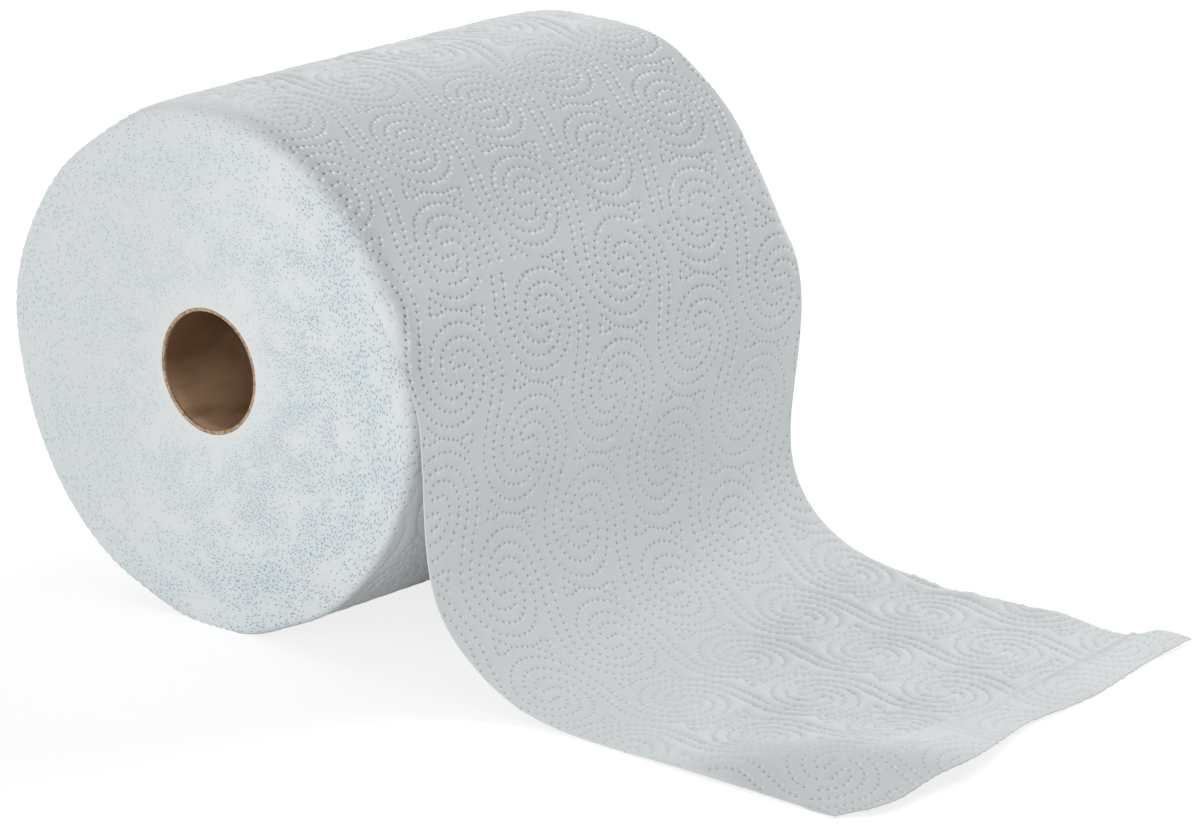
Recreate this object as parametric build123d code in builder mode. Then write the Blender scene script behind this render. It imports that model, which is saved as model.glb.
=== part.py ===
from build123d import *
from math import cos, exp, radians, sin
import os

# Paper towel roll lying on its side, with its loose end unrolled onto the surface.
# Millimetres. The origin is the middle of the core's bore, +Y runs along the core to
# the end where the last strip sticks out, +Z is up, and the web unrolls toward +X.

# Wound roll
roll_diameter = 184.0
roll_width = 203.0
rim_radius = 8.0
rim_bands = 4
flat_spot_sag = 1.2

# Cardboard core
core_outer_diameter = 44.0
core_wall = 1.2

# Turns that show on the end faces, as one spiral line round each face
shown_turns = 6
turn_line_width = 1.2
turn_line_depth = 0.6
bare_ring = 4.0

# Sheet: its thickness, where it comes off the roll, and how its side edges come off
# the soft rims
sheet_thickness = 0.6
leave_angle = 37.0
tuck_angle = 12.0
tuck_depth = 1.8
edge_inset = 9.0
edge_inset_height = 45.0
edge_free_height = 8.0

# The hanging stretch of the sheet, at the near edge (-Y) and the far edge: how far it
# stands out past the roll's side, and its height as a share of the centre's height.
near_hang = [(3.0, 0.09), (4.8, -0.17), (6.7, -0.44), (13.0, -0.677), (26.0, -0.826), (47.0, -0.947)]
far_hang = [(3.2, 0.09), (3.4, -0.17), (0.4, -0.44), (2.4, -0.677), (11.5, -0.826), (31.5, -0.947)]

# The lying stretch: where it touches down past the roll's side, how far its end
# reaches from the roll's axis, and the buckle at its near corner
near_touchdown = 74.0
far_touchdown = 66.0
sheet_reach = 265.5
lying_gap = 0.4
buckle_height = 5.0
buckle_start = 122.0
buckle_run = 38.0
buckle_set_back = 34.0
buckle_near_width = 17.0
buckle_far_width = 52.0

# The torn end: the last strip hangs on by its perforation and has slipped out at the
# far corner, and the near corner is pulled out a little.
strip_width = 20.0
strip_slip = 7.0
strip_skew = 5.0
strip_lift = 2.2
strip_lift_across = 30.0
strip_lift_along = 18.0
corner_bulge = 9.0
slit_length = 5.0
slit_width = 0.5
slit_pitch = 8.0

# How finely the sheet's bands are drawn: rows along the web, and shares across it
hanging_rows = 13
lying_rows = 6
across = [0.0, 0.08, 0.17, 0.32, 0.55, 0.8, 1.0, 1.07]

roll_radius = roll_diameter / 2
half_width = roll_width / 2
core_radius = core_outer_diameter / 2
bore_radius = core_radius - core_wall
rest_height = roll_radius - flat_spot_sag
surface = -rest_height
sheet_end = sheet_reach + corner_bulge + strip_width


def blend(near, far, share):
    return near + (far - near) * share


def bell(distance, width):
    return exp(-((distance / width) ** 2))


def clamp(value):
    return min(1.0, max(0.0, value))


# Core: a wound cardboard tube as long as the web is wide
with BuildPart() as core:
    with BuildSketch(Plane.XZ.offset(-half_width)):
        Circle(core_radius)
        Circle(bore_radius, mode=Mode.SUBTRACT)
    extrude(amount=roll_width)
core.part.label = "core_tube"

# Wound turns: a cylinder round the core with soft rims, and a flat spot below. Each
# rim's rounding is drawn as a few narrow bands.
rim_bends = [radians(90 * band / rim_bands) for band in range(rim_bands + 1)]
rim = [
    (roll_radius - rim_radius * (1 - sin(bend)), half_width - rim_radius * (1 - cos(bend)))
    for bend in rim_bends
]
with BuildPart() as wound:
    with BuildSketch():
        with BuildLine():
            half_profile = Polyline((core_radius, 0), (core_radius, half_width), *rim, (roll_radius, 0))
            mirror(half_profile, about=Plane.XZ)
        make_face()
    revolve(axis=Axis.Y)
    split(bisect_by=Plane.XY.offset(surface), keep=Keep.TOP)

# The spiral turn line is made of half circles about two centres, each half circle
# half a pitch wider than the last.
first_turn_radius = core_radius + bare_ring
turn_pitch = (roll_radius - rim_radius - first_turn_radius) / shown_turns


def half_turn(index, end_y, into_roll):
    """One half circle of the V-shaped turn line, as a solid to cut away."""
    side = -1 if index % 2 else 1
    centre_x = -side * turn_pitch / 4
    radius = first_turn_radius + turn_pitch / 4 + index * turn_pitch / 2
    with BuildPart() as cutter:
        with BuildSketch():
            with BuildLine():
                Polyline(
                    (centre_x + side * (radius - turn_line_width / 2), end_y),
                    (centre_x + side * (radius + turn_line_width / 2), end_y),
                    (centre_x + side * radius, end_y + into_roll * turn_line_depth),
                    close=True,
                )
            make_face()
        revolve(axis=Axis((centre_x, 0, 0), (0, 1, 0)), revolution_arc=180)
    return cutter.part


turn_lines = [
    half_turn(index, end_y, into_roll)
    for end_y, into_roll in ((-half_width, 1), (half_width, -1))
    for index in range(2 * shown_turns)
]


def edge_curve(hang, touchdown):
    """One side edge of the sheet, from its tuck in the turns to where it touches down."""
    inner_radius = roll_radius - sheet_thickness
    leave = radians(leave_angle)
    tuck = radians(leave_angle + tuck_angle)
    tucked = ((inner_radius - tuck_depth) * cos(tuck), (inner_radius - tuck_depth) * sin(tuck))
    leaving = (inner_radius * cos(leave), inner_radius * sin(leave))
    hanging = [(inner_radius + out, level * rest_height) for out, level in hang]
    landing = (roll_radius + touchdown, surface + lying_gap)
    with BuildLine() as edge:
        Spline(tucked, leaving, *hanging, landing, tangents=[(sin(tuck), -cos(tuck)), (1, 0)])
    return edge.line


near_edge = edge_curve(near_hang, near_touchdown)
far_edge = edge_curve(far_hang, far_touchdown)


def lying_height(x, y):
    """How far the lying sheet stands off the surface, by its buckle and its torn strip."""
    along = clamp((x - roll_radius - buckle_start) / buckle_run)
    ridge_y = -half_width + buckle_set_back * along
    width = buckle_near_width if y < ridge_y else buckle_far_width
    from_edge = clamp((y + half_width) / buckle_near_width)
    buckle = buckle_height * along * from_edge * bell(y - ridge_y, width)
    strip_y = half_width + strip_slip
    strip = strip_lift * bell(y - strip_y, strip_lift_across) * bell(x - sheet_reach, strip_lift_along)
    return lying_gap + buckle + strip


def underside(share):
    """Points along the sheet's underside, at a share of the way across the web."""
    y = blend(-half_width, half_width, share)
    points = []
    for row in range(hanging_rows):
        near = near_edge @ (row / hanging_rows)
        far = far_edge @ (row / hanging_rows)
        points.append(Vector(blend(near.X, far.X, share), blend(near.Y, far.Y, share)))
    touchdown = roll_radius + blend(near_touchdown, far_touchdown, share)
    for row in range(lying_rows + 1):
        x = blend(touchdown, sheet_end, row / lying_rows)
        points.append(Vector(x, surface + lying_height(x, y)))
    return points


def upper_side(points):
    """The same points, moved square to the sheet by its thickness."""
    moved = []
    for index, point in enumerate(points):
        before = points[max(0, index - 1)]
        after = points[min(len(points) - 1, index + 1)]
        square = (after - before).normalized().rotate(Axis.Z, 90)
        moved.append(point + square * sheet_thickness)
    return moved


# The bands share one spacing along the web, that of the band in the middle
spacing = [0.0]
middle = underside(0.5)
for start, end in zip(middle, middle[1:]):
    spacing.append(spacing[-1] + (end - start).length)


def band(share):
    """The sheet's section on a plane square to the roll's axis."""
    under = underside(share)
    over = upper_side(under)
    with BuildSketch(Plane.XZ.offset(half_width - share * roll_width)) as section:
        with BuildLine():
            add(Edge.make_spline(under, parameters=spacing))
            add(Edge.make_spline(over, parameters=spacing))
            Line(under[0], over[0])
            Line(under[-1], over[-1])
        make_face()
    return section.sketch.face()


# Loose sheet: bands across the web, joined by a loft
with BuildPart() as sheet:
    loft(sections=[band(share) for share in across])

# What the sheet keeps, seen from above: its torn end and the strip at the far corner
notch = (sheet_reach - strip_width, half_width)
with BuildPart() as torn_outline:
    with BuildSketch(Plane.XY.offset(-roll_radius)):
        with BuildLine():
            end_edge = Spline(
                (sheet_reach + 0.45 * corner_bulge, -half_width),
                (sheet_reach + corner_bulge, -0.75 * half_width),
                (sheet_reach + 0.6 * corner_bulge, -0.4 * half_width),
                (sheet_reach, 0.08 * half_width),
                (sheet_reach - 0.4 * strip_skew, 0.8 * half_width),
                (sheet_reach - strip_skew, half_width + 1.2 * strip_slip),
            )
            Polyline(
                end_edge @ 1,
                (sheet_reach - strip_skew - 0.6 * strip_width, half_width + strip_slip),
                notch,
                (0, half_width),
                (0, -half_width),
                end_edge @ 0,
            )
        make_face()
    extrude(amount=2 * roll_radius)

# What the sheet keeps, seen along its length: its edges come off the soft rims
with BuildPart() as free_outline:
    with BuildSketch(Plane.YZ):
        with BuildLine():
            Polyline(
                (-half_width, -roll_radius),
                (-half_width, edge_free_height),
                (edge_inset - half_width, edge_inset_height),
                (edge_inset - half_width, roll_radius),
                (half_width - edge_inset, roll_radius),
                (half_width - edge_inset, edge_inset_height),
                (half_width, edge_free_height),
                (half_width, surface + rim_radius),
                (half_width + strip_width, surface + rim_radius),
                (half_width + strip_width, -roll_radius),
                close=True,
            )
        make_face()
    extrude(amount=sheet_end + strip_width)

# Perforation slits between the sheet and its last strip, in one row across the web
with BuildPart() as slits:
    with BuildSketch(Plane.XY.offset(-roll_radius)):
        with BuildLine(mode=Mode.PRIVATE):
            row = Line(notch, (sheet_reach - 0.6 * strip_width, -half_width))
        slit_count = int(row.length / slit_pitch)
        for index in range(slit_count):
            with Locations(row @ ((index + 0.5) / slit_count)):
                Rectangle(slit_length, slit_width, rotation=row.tangent_angle_at(0.5))
    extrude(amount=roll_radius)

# The paper is one solid: the wound turns and the sheet that runs off them
with BuildPart() as paper:
    add(sheet.part)
    add(torn_outline.part, mode=Mode.INTERSECT)
    add(free_outline.part, mode=Mode.INTERSECT)
    add(slits.part, mode=Mode.SUBTRACT)
    add(wound.part)
    add(turn_lines, mode=Mode.SUBTRACT)
paper.part.label = "paper_web"

os.makedirs("parts", exist_ok=True)
export_step(core.part, "parts/core_tube.step")
export_step(paper.part, "parts/paper_web.step")
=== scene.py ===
import math

import bmesh
import bpy
import numpy as np
from mathutils import Matrix, Vector, kdtree
from mathutils.geometry import delaunay_2d_cdt


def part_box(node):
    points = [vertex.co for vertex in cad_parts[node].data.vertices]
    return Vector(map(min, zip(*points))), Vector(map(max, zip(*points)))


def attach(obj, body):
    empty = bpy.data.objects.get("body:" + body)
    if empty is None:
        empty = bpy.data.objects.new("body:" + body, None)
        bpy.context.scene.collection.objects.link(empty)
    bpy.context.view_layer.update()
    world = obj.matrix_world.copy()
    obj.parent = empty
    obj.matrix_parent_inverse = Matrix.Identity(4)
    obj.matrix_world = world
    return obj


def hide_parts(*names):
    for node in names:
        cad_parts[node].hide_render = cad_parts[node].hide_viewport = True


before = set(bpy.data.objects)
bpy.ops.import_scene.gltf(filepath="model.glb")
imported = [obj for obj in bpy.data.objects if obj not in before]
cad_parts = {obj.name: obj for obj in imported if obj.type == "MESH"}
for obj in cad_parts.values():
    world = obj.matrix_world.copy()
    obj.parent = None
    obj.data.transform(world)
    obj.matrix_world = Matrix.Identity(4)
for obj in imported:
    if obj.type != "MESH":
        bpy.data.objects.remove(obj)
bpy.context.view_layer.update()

# Paper towel roll on its side with its loose end unrolled. Lengths are in millimetres
# and become metres when a mesh is made. Materials, lamps and the camera are in metres.
# A place on the web is (side, along): side runs from the near edge to the far one, and
# along runs down the web, from 0 at the height of the roll's axis. A run is the length
# of web from the line where it leaves the roll.
METRES = 0.001
SHARP_ANGLE = math.radians(70)
WELD_GAP = 0.02

# Sizes read from the frame
paper_low, _ = (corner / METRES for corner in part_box("paper_web"))
core_low, core_high = (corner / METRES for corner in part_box("core_tube"))
ROLL_RADIUS = -paper_low.x
WEB_WIDTH = core_high.y - core_low.y
HALF_WIDTH = WEB_WIDTH / 2
CORE_RADIUS = core_high.x
SURFACE = paper_low.z
REST_HEIGHT = -SURFACE

# How finely the meshes are drawn: the pitch along an outline, the pitch of the points
# between the dots, the points round a dot, and the rows and columns of plain parts
OUTLINE_PITCH = 2.0
ROLL_FILL_PITCH = 2.35
ROLL_RING_POINTS = 5
SHEET_FILL_PITCH = 2.1
SHEET_RING_POINTS = 6
CURVE_POINTS = 1600
SPIRAL_POINTS = 80
BRIDGE_POINTS = 12
TIP_POINTS = 9
FACE_ROWS = 30
LEAVE_POINTS = 96
CREASE_POINTS = 134
CORE_COLUMNS = 144
CORE_ROWS = 90

# Wound roll: its outer turn leaves it at the leave angle, and after a short free run
# it goes on as the loose sheet
RIM_RADIUS = 8.0
TURN_STEP = 0.55
STEP_FADES = (HALF_WIDTH - 9, HALF_WIDTH - 2)
LEAVE_ANGLE = math.radians(37)
PATTERN_RADIUS = 93.45
BORE_GAP = 0.05
RIM_REACH = HALF_WIDTH - RIM_RADIUS + RIM_RADIUS * math.pi / 2
LEAVE_ALONG = -LEAVE_ANGLE * PATTERN_RADIUS
TURN_LENGTH = 2 * math.pi * PATTERN_RADIUS
FREE_RUN = 17.0
JOIN_ALONG = LEAVE_ALONG + FREE_RUN

# Radius of each rim's rounding by degrees round the axis, and the bend over which the
# side's look gives way to that of the cut end
NEAR_RIM = [(-100, 2), (-50, 2), (-20, 3), (12, 8), (84, 8), (112, 3), (128, 2), (260, 2)]
FAR_RIM = [(-100, 8), (36, 8), (52, 5), (84, 5), (104, 8), (260, 8)]
LOWEST_DEGREE = -100
CUT_BEND = (0.45, 1.35)

# Looseness and painted shade of the outer turn, by degrees round the axis: taut on its
# pulled side, loose on top, less so behind, with painted shade on its pulled side that
# fades toward the top. Its puff is pressed flat toward the rims, by the distance from the middle.
LOOSENS = (66, 90)
STIFFENS = (120, 160)
STIFFENED = 0.7
SHADE_RISES = ((-8, 14), (28, 48))
SHADE_FALLS = (66, 92)
RIM_PRESSES = (85, 100)
RIM_PRESSED = 0.6

# Soft rings on the cut ends: height, rate along the radius, and how they wander round
# the axis (how far, how many times and from which angle), and where they fade
FACE_RINGS = [(0.10, 2.1, 1.3, 2, 0), (0.12, 0.9, 2.0, 1, 1)]
RINGS_START = (24, 30)
RINGS_END = (76, 83)

# Uneven places of the soft roll: degrees round the axis, place along it, how far out,
# how many degrees wide and how long along the axis
UNEVEN = [
    (172, -95, 2.4, 17, 60),
    (124, -95, -2.3, 13, 55),
    (-109, -95, -1.0, 9, 50),
    (-88, -95, 1.0, 8, 45),
    (-66, -95, -1.2, 8, 50),
    (88, 95, -1.4, 10, 22),
    (68, 95, 1.6, 10, 22),
    (42, 95, 0.9, 10, 25),
    (150, 40, -0.9, 16, 60),
    (-140, 20, 0.8, 15, 60),
]

# Embossing: the repeat of its scrolls, the rows of dots that draw them, and the small
# bow between two scrolls. The cells are the repeats that are tried each way, and reach
# and margin say how far outside a piece of web repeats and dots still count. The drift
# shifts the pattern further down the loose sheet.
REPEAT_SIDE = np.array([-46.1, 9.5])
REPEAT_DOWN = np.array([-14.1, 41.2])
PATTERN_START = np.array([66.75, -22.3])
PATTERN_CELLS = (12, 20)
PATTERN_REACH = 80
PATTERN_MARGIN = 6
PATTERN_DRIFT = np.array([-8.5, 6.8])
DRIFT_ALONG = (10, 130)
SCROLL_START = 4.4
SCROLL_GROWTH = 19.3
SCROLL_SWEEP = 283
SCROLL_CROSSING = np.array([-0.27, 0.963])
ROW_OFFSET = 2.42
DOT_PITCH = 2.75
DOT_CLEARANCE = 1.5
DOT_WOBBLE = 0.06
WOBBLE_SEED = 7
BOW = [
    (-4.6, -1.35), (-10.8, -6.7), (-12.7, 0.6), (-4.6, -1.35),
    (4.6, 1.35), (10.2, 7.0), (12.65, -0.2), (4.6, 1.35),
]
BOW_PITCH = 2.4

# Relief: the pit at each dot, the puff of the paper between, and how near to a dot or
# to an edge the mesh keeps other points. Tones of each pit's painted shade and painted
# highlight: how dark a pit's rim is on its shaded side, how much a pit pales in loose
# paper, and from which tone on it is crisp.
PIT_RADIUS = 0.66
PIT_DEPTH = 0.55
TAUT_PUFF = 0.08
FREE_PUFF = 1.4
PUFF_REACH = 1.5
RING_CLEARANCE = 0.5
EDGE_CLEARANCE = 0.9
MERGE_GAP = 1e-5
INSIDE_ONLY = 1
RIM_PAINTED_SHADE = 0.55
LOOSE_PALES = 0.5
CRISP_TONE = 0.6

# Loose sheet. At each side edge the hang says how far the web stands out past the
# roll's side, and at which share of the axis's height. The lying points are places past
# the touchdown where the web is flat.
SHEET_THICKNESS = 0.45
LEAST_THICKNESS = 0.3
NEAR_HANG = [
    (3.6, 0.09), (5.4, -0.17), (7.2, -0.44), (13.4, -0.677), (26.2, -0.826), (47.0, -0.947),
]
FAR_HANG = [
    (3.4, 0.09), (3.6, -0.17), (1.0, -0.44), (2.9, -0.677), (11.8, -0.826), (31.6, -0.947),
]
NEAR_TOUCHDOWN = 74.0
FAR_TOUCHDOWN = 66.0
LYING_TOP = 0.95
LYING_POINTS = (0, 30, 90, 160)
DENTS_FADE = (0, 70)

# Side edges: how far each lies inside the web's width, by run, and the runs over which
# it comes off the rim
NEAR_INSET = [(17, -4.57), (30, -3.6), (60, -0.6), (80, 0.4), (110, 0.0)]
FAR_INSET = [
    (17, -4.57), (30, -2.0), (50, 0), (192, 0), (202, 3.3), (209, 4.6), (216, 3.0), (230, 0.2),
    (262, 0), (270, 2.0), (279, 2.2),
]
NEAR_UNBENDS = (24, 62)
FAR_UNBENDS = (17, 55)

# Torn end, as (side, run), with the slipped strip's corner and its notch, and the
# crease of the perforation
TORN_END = [
    (0, 297.5), (8, 303), (21, 308), (36, 308.5), (64, 310.5), (86, 306), (106, 301),
    (136, 302.5), (190, 299.5), (211.5, 300.5),
]
TORN_DIRECTION = np.array([0.9, 0.43])
TORN_PITCH = 1.2
TEAR_ROUGHNESS = 0.16
TEAR_SEED = 3
STRIP_CORNER = (210, 287.5)
STRIP_PITCH = 1.5
NOTCH = (203, 284.0)
PERFORATION = 282.5
CREASE_HALF = 0.8
CREASE_MARGIN = 1.5
CREASE_LEVEL = 0.3
CREASE_LIFT = 0.8
CREASE_LIFTS = (30, 150)

# Forms of the lying sheet, in x and y. A ridge swings away from the near edge, and a
# ripple runs along that edge before it. The lifts are those of the strip, of the curl
# at the far edge and of a bump beside it: how high, where, and how wide in x and y.
LYING = (150, 190)
SHARE_LIMITS = (-0.05, 1.1)
RIDGE_HEIGHT = 7.6
RIDGE_RISES = (195, 245)
RIDGE_SINKS = (255, 280)
RIDGE_SUNK = 0.3
RIDGE_START = (203, -97)
RIDGE_LENGTH = 69
RIDGE_SWING = 51
RIDGE_REACH = 1.15
RIDGE_CURVE = 1.8
RIDGE_WIDTH = 42
RIPPLE_PLACE = -88
RIPPLE_WIDTH = 7
RIPPLE_STARTS = (165, 185)
RIPPLE_ENDS = (205, 225)
RIPPLE_EDGE = 11
LIFTS = [(1.7, 253, 110, 12, 17), (1.0, 172, 97, 14, 4), (1.0, 212, 101, 8, 9)]

# Looseness and painted shade of the loose sheet, by side and run: it settles on the floor
# along a slanting line, and its near corner droops off the ridge and is taut again. The
# painted shade lies where it hangs, where it turns to the floor and on the drooping corner.
SETTLES = (194, 248)
SETTLE_SLANT = 0.35
SETTLED = 1.05
FAR_SIDE = (120, 190)
FAR_TAUTER = 0.22
STRIP_TAUTER = 0.7
STRIP_MARGIN = 6
DROOPS = (225, 262)
DROOP_SIDE = (20, 46)
DROOP_SLANT = 0.5
DROOP_TAUTER = 0.8
# DROOP_SHADE and TURN_SHADE are shares of painted shade
DROOP_SHADE = 0.85
TURNS = (95, 145)
TURN_SHADE = 0.35

# The painted shade and painted highlight of the pits pale down the run and at the corner,
# and show weakly on the underside. The top side lies low along the edges, from a short
# ease after the join on.
PITS_PALE = (60, 165)
PITS_PALER = 0.2
DROOP_PALER = 0.08
UNDERSIDE_TONE = 0.3
EDGE_LEVEL = 0.1
EDGE_EASE = 4

# Core tube: its wall, the spiral seam inside, and the worn, ragged edge of its near
# end, which is widest at the worn angle
CORE_WALL = 1.2
SEAM_PITCH = 62.0
SEAM_STEP = 0.22
SEAM_SLOPE = 0.03
WORN_ANGLE = math.radians(-95)
WORN_SPREAD = 48
WORN_OUT = 0.5
WORN_IN = 0.25
WORN_BAND = (1.5, 1.8)
RAGGED = 0.14
RAGGED_SHIFT = 35
RAGGED_SPREAD = 40
RAGGED_SEED = 5


def smoothstep(value, low, high):
    """A soft rise from 0 at low to 1 at high."""
    share = np.clip((np.asarray(value, float) - low) / (high - low), 0, 1)
    return share * share * (3 - 2 * share)


def bell(distance, width):
    """1 at no distance, falling off softly over a width."""
    return np.exp(-np.square(distance / width))


def degrees_from(angle, start):
    """Degrees from a start angle to others, the short way round."""
    return np.degrees(np.angle(np.exp(1j * (angle - start))))


def lengths_to(points):
    """Length along a polyline to each of its points."""
    return np.concatenate([[0], np.cumsum(np.linalg.norm(np.diff(points, axis=0), axis=1))])


def evenly(points, pitch):
    """Points at about one pitch along a polyline, from its start to its end."""
    points = np.asarray(points, float)
    reach = lengths_to(points)
    places = np.linspace(0, reach[-1], max(2, round(reach[-1] / pitch)) + 1)
    return np.stack([np.interp(places, reach, points[:, 0]), np.interp(places, reach, points[:, 1])], 1)


# Scroll embossing

def scroll_line():
    """Middle line of one band that spirals out of a scroll and into the next one."""
    turn = np.radians(90 + np.linspace(0, SCROLL_SWEEP, SPIRAL_POINTS))
    growth = SCROLL_GROWTH / (2 * math.pi)
    radius = SCROLL_START + growth * (turn - turn[0])
    spiral = np.stack([radius * np.cos(turn), radius * np.sin(turn)], 1)
    leaving = np.array([
        growth * np.cos(turn[-1]) - radius[-1] * np.sin(turn[-1]),
        growth * np.sin(turn[-1]) + radius[-1] * np.cos(turn[-1]),
    ])
    leaving /= np.linalg.norm(leaving)
    middle = (REPEAT_DOWN - REPEAT_SIDE) / 2
    span = np.linalg.norm(middle - spiral[-1])
    share = np.linspace(0, 1, BRIDGE_POINTS)[1:, None]
    bridge = (
        (2 * share**3 - 3 * share**2 + 1) * spiral[-1]
        + (share**3 - 2 * share**2 + share) * leaving * span
        + (3 * share**2 - 2 * share**3) * middle
        + (share**3 - share**2) * SCROLL_CROSSING * span
    )
    half = np.vstack([spiral, bridge])
    return np.vstack([half, 2 * middle - half[::-1][1:]])


def row_round(line):
    """The row of dots that goes round a band: along one side, round its tip and back."""
    ahead = np.gradient(line, axis=0)
    ahead /= np.linalg.norm(ahead, axis=1)[:, None]
    across = np.stack([-ahead[:, 1], ahead[:, 0]], 1) * ROW_OFFSET

    def tip(centre, first):
        start = math.atan2(*(first - centre)[::-1])
        turn = start - np.linspace(0, math.pi, TIP_POINTS)[1:-1]
        return centre + ROW_OFFSET * np.stack([np.cos(turn), np.sin(turn)], 1)

    left, right = line + across, line - across
    return np.vstack([left, tip(line[-1], left[-1]), right[::-1], tip(line[0], right[0]), left[:1]])


def one_repeat():
    """Dots of one scroll band and one bow, less those that fall on a neighbour's."""
    dots = np.vstack([
        evenly(row_round(scroll_line()), DOT_PITCH)[:-1],
        evenly(BOW, BOW_PITCH)[:-1] + REPEAT_DOWN / 2,
    ])
    kept = np.ones(len(dots), bool)
    for i in range(-2, 3):
        for j in range(-2, 3):
            if (i, j) > (0, 0):
                continue
            shifted = dots + i * REPEAT_SIDE + j * REPEAT_DOWN
            gaps = np.linalg.norm(dots[:, None] - shifted[None], axis=2)
            if (i, j) == (0, 0):
                gaps[np.triu_indices(len(dots))] = np.inf
            kept &= gaps.min(axis=1) > DOT_CLEARANCE
    return dots[kept]


def pattern_dots(low, high, drift=0.0):
    """Every dot of the embossing on a stretch of web between two corners."""
    cell = one_repeat()
    beside, down = PATTERN_CELLS
    found = []
    for i in range(-beside, beside + 1):
        for j in range(-down, down + 1):
            centre = PATTERN_START + i * REPEAT_SIDE + j * REPEAT_DOWN
            if (centre > low - PATTERN_REACH).all() and (centre < high + PATTERN_REACH).all():
                found.append(cell + centre)
    dots = np.vstack(found)
    dots = dots + drift * smoothstep(dots[:, 1], *DRIFT_ALONG)[:, None]
    dots = dots + np.random.default_rng(WOBBLE_SEED).normal(0, DOT_WOBBLE, dots.shape)
    near = (dots > low - PATTERN_MARGIN) & (dots < high + PATTERN_MARGIN)
    return dots[near.all(axis=1)]


def inside(points, outline):
    """Which points lie inside a closed outline."""
    result = np.zeros(len(points), bool)
    x, y = points[:, 0], points[:, 1]
    for (x0, y0), (x1, y1) in zip(outline, np.roll(outline, -1, axis=0)):
        if y0 == y1:
            continue
        crosses = (y0 > y) != (y1 > y)
        result ^= crosses & (x < (x1 - x0) * (y - y0) / (y1 - y0) + x0)
    return result


def nearest(targets, points):
    """How far each point is from the nearest target."""
    tree = kdtree.KDTree(len(targets))
    for index, (x, y) in enumerate(targets):
        tree.insert((x, y, 0), index)
    tree.balance()
    return np.array([tree.find((x, y, 0))[2] for x, y in points])


def embossed_flat(outline, dots, ring_count, fill_pitch, looseness, seam=np.zeros((0, 2))):
    """Flat triangles inside an outline, with a pit at each dot and puffed paper between.

    Looseness, about 0 to 1 at each flat point, lets the paper puff up more. Gives the
    flat points, the triangles, the height of each point and the tone of the painted light
    in its pit, from 1 in painted shade to -1 on the side with a painted highlight. The
    outline's points come first, in their order, and the seam's points follow.
    """
    every_dot = dots
    dots = dots[inside(dots, outline)]
    fixed = np.vstack([outline, seam])
    dots = dots[nearest(fixed, dots) > EDGE_CLEARANCE]
    turn = math.pi / 4 + np.linspace(0, 2 * math.pi, ring_count, endpoint=False)
    ring = PIT_RADIUS * np.stack([np.cos(turn), np.sin(turn)], 1)
    ring_painted_light = -np.cos(turn - math.pi / 4)
    ring_painted_light[ring_painted_light > 0] *= RIM_PAINTED_SHADE
    rings = (dots[:, None] + ring[None]).reshape(-1, 2)
    low, high = outline.min(axis=0), outline.max(axis=0)
    row_pitch = fill_pitch * math.sqrt(0.75)
    fill = []
    for index, along in enumerate(np.arange(low[1] + row_pitch / 2, high[1], row_pitch)):
        sides = np.arange(low[0] + fill_pitch * (0.25 + 0.5 * (index % 2)), high[0], fill_pitch)
        fill.append(np.stack([sides, np.full(len(sides), along)], 1))
    fill = np.vstack(fill)
    fill = fill[inside(fill, outline)]
    fill = fill[nearest(dots, fill) > PIT_RADIUS + RING_CLEARANCE]
    fill = fill[nearest(fixed, fill) > 0.5 * fill_pitch]
    points = np.vstack([fixed, dots, rings, fill])
    loose = looseness(points)
    puff = TAUT_PUFF + (FREE_PUFF - TAUT_PUFF) * loose
    height = puff * (1 - bell(nearest(every_dot, points), PUFF_REACH))
    # Tones of the painted light: painted shade at each pit's centre and on its rim's side away from the
    # lamps, a painted highlight on the other side
    tone = np.zeros(len(points))
    first = len(fixed)
    last = first + len(dots)
    tone[first:last] = 1
    height[first:last] -= PIT_DEPTH
    tone[last:last + len(rings)] = np.tile(ring_painted_light, len(dots))
    tone *= 1 - LOOSE_PALES * loose
    made, sources = delaunay_2d_cdt(
        [Vector(p) for p in points], [], [list(range(len(outline)))], INSIDE_ONLY, MERGE_GAP
    )[2:4]
    triangles = np.array([source[0] for source in sources])[np.array(made)]
    a, b, c = (points[triangles[:, k]] for k in range(3))
    area = (b[:, 0] - a[:, 0]) * (c[:, 1] - a[:, 1]) - (b[:, 1] - a[:, 1]) * (c[:, 0] - a[:, 0])
    triangles[area < 0] = triangles[area < 0][:, ::-1]
    return points, triangles, height, tone


def surface_normals(place, flat):
    """Outward directions of a surface at flat points, from its place function."""
    step = 0.05
    side = place(flat + [step, 0]) - place(flat - [step, 0])
    along = place(flat + [0, step]) - place(flat - [0, step])
    normal = np.cross(side, along)
    return -normal / np.linalg.norm(normal, axis=1)[:, None]


def new_mesh(name, points, faces, masks, material):
    """A smooth object of points in millimetres, crisp in its pits, with its masks."""
    mesh = bpy.data.meshes.new(name)
    mesh.from_pydata((np.asarray(points) * METRES).tolist(), [], [list(map(int, f)) for f in faces])
    mesh.update()
    for mask, values in masks.items():
        layer = mesh.attributes.new(mask, "FLOAT", "POINT")
        layer.data.foreach_set("value", np.asarray(values, np.float32))
    deep = np.asarray(masks.get("pit", np.zeros(len(points)))) > CRISP_TONE
    rounded = [not deep[list(face)].any() for face in faces]
    mesh.polygons.foreach_set("use_smooth", rounded)
    mesh.materials.append(material)
    piece = bpy.data.objects.new(name, mesh)
    bpy.context.scene.collection.objects.link(piece)
    return piece


def weld(piece):
    """Joins points that coincide and turns every face outward."""
    mesh = bmesh.new()
    mesh.from_mesh(piece.data)
    bmesh.ops.remove_doubles(mesh, verts=mesh.verts, dist=WELD_GAP * METRES)
    bmesh.ops.recalc_face_normals(mesh, faces=mesh.faces)
    mesh.to_mesh(piece.data)
    mesh.free()
    piece.data.set_sharp_from_angle(angle=SHARP_ANGLE)


# Node helpers

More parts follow.
